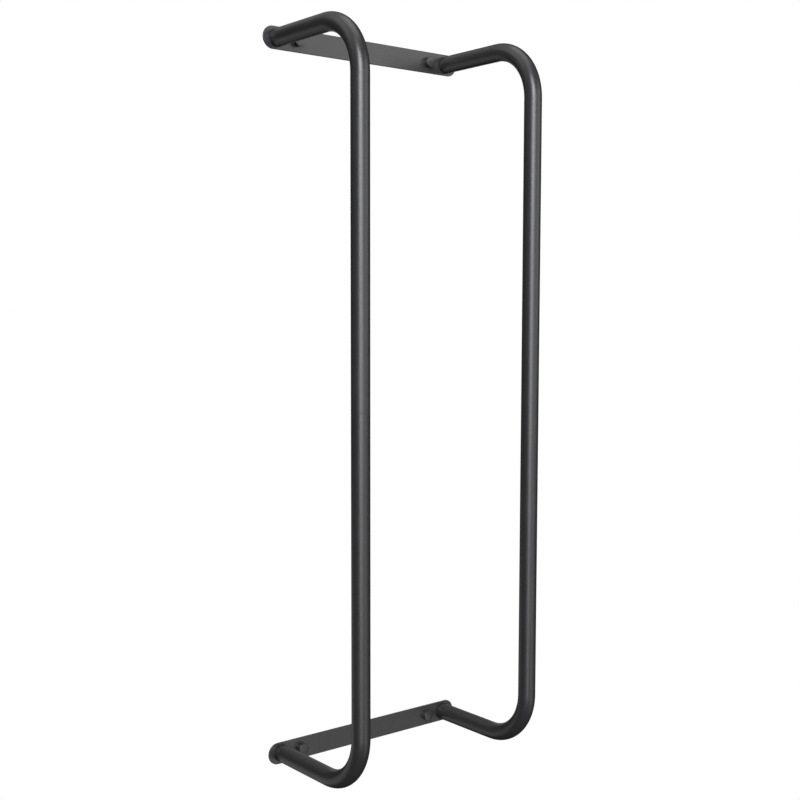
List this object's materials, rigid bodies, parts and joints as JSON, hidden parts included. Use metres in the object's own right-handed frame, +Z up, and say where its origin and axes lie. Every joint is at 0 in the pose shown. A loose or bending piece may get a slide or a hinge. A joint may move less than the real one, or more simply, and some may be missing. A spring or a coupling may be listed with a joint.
{
  "type": "wall-mounted storage rack",
  "caption": "Tall open rack of C-bent round tubes side by side, welded to flat round-ended wall plates and screwed to a wall; rolled towels are held between tubes and wall.",
  "frame": {"origin": "middle of the rack on the wall surface, halfway between the plates and halfway between the tubes", "axes": "+X along the wall to the right as seen by someone facing the rack, +Y into the wall, +Z up; the plates' back faces lie in the plane Y = 0"},
  "size_m": [0.2626, 0.1779, 0.7846],
  "materials": {
    "powder_coat": "fine satin powder coat, near black",
    "bright_zinc": "bright zinc plate over steel"
  },
  "bodies": {
    "root": {"upper_wall_plate": "powder_coat", "lower_wall_plate": "powder_coat", "upper_left_tube": "powder_coat", "upper_right_tube": "powder_coat", "lower_left_tube": "powder_coat", "lower_right_tube": "powder_coat", "upper_left_weld": "powder_coat", "upper_right_weld": "powder_coat", "lower_left_weld": "powder_coat", "lower_right_weld": "powder_coat", "upper_left_wall_screw": "bright_zinc", "upper_right_wall_screw": "bright_zinc", "lower_left_wall_screw": "bright_zinc", "lower_right_wall_screw": "bright_zinc", "upper_left_screw_cap": "powder_coat", "upper_right_screw_cap": "powder_coat", "lower_left_screw_cap": "powder_coat", "lower_right_screw_cap": "powder_coat", "left_joining_sleeve": "bright_zinc", "right_joining_sleeve": "bright_zinc"}
  },
  "joints": []
}
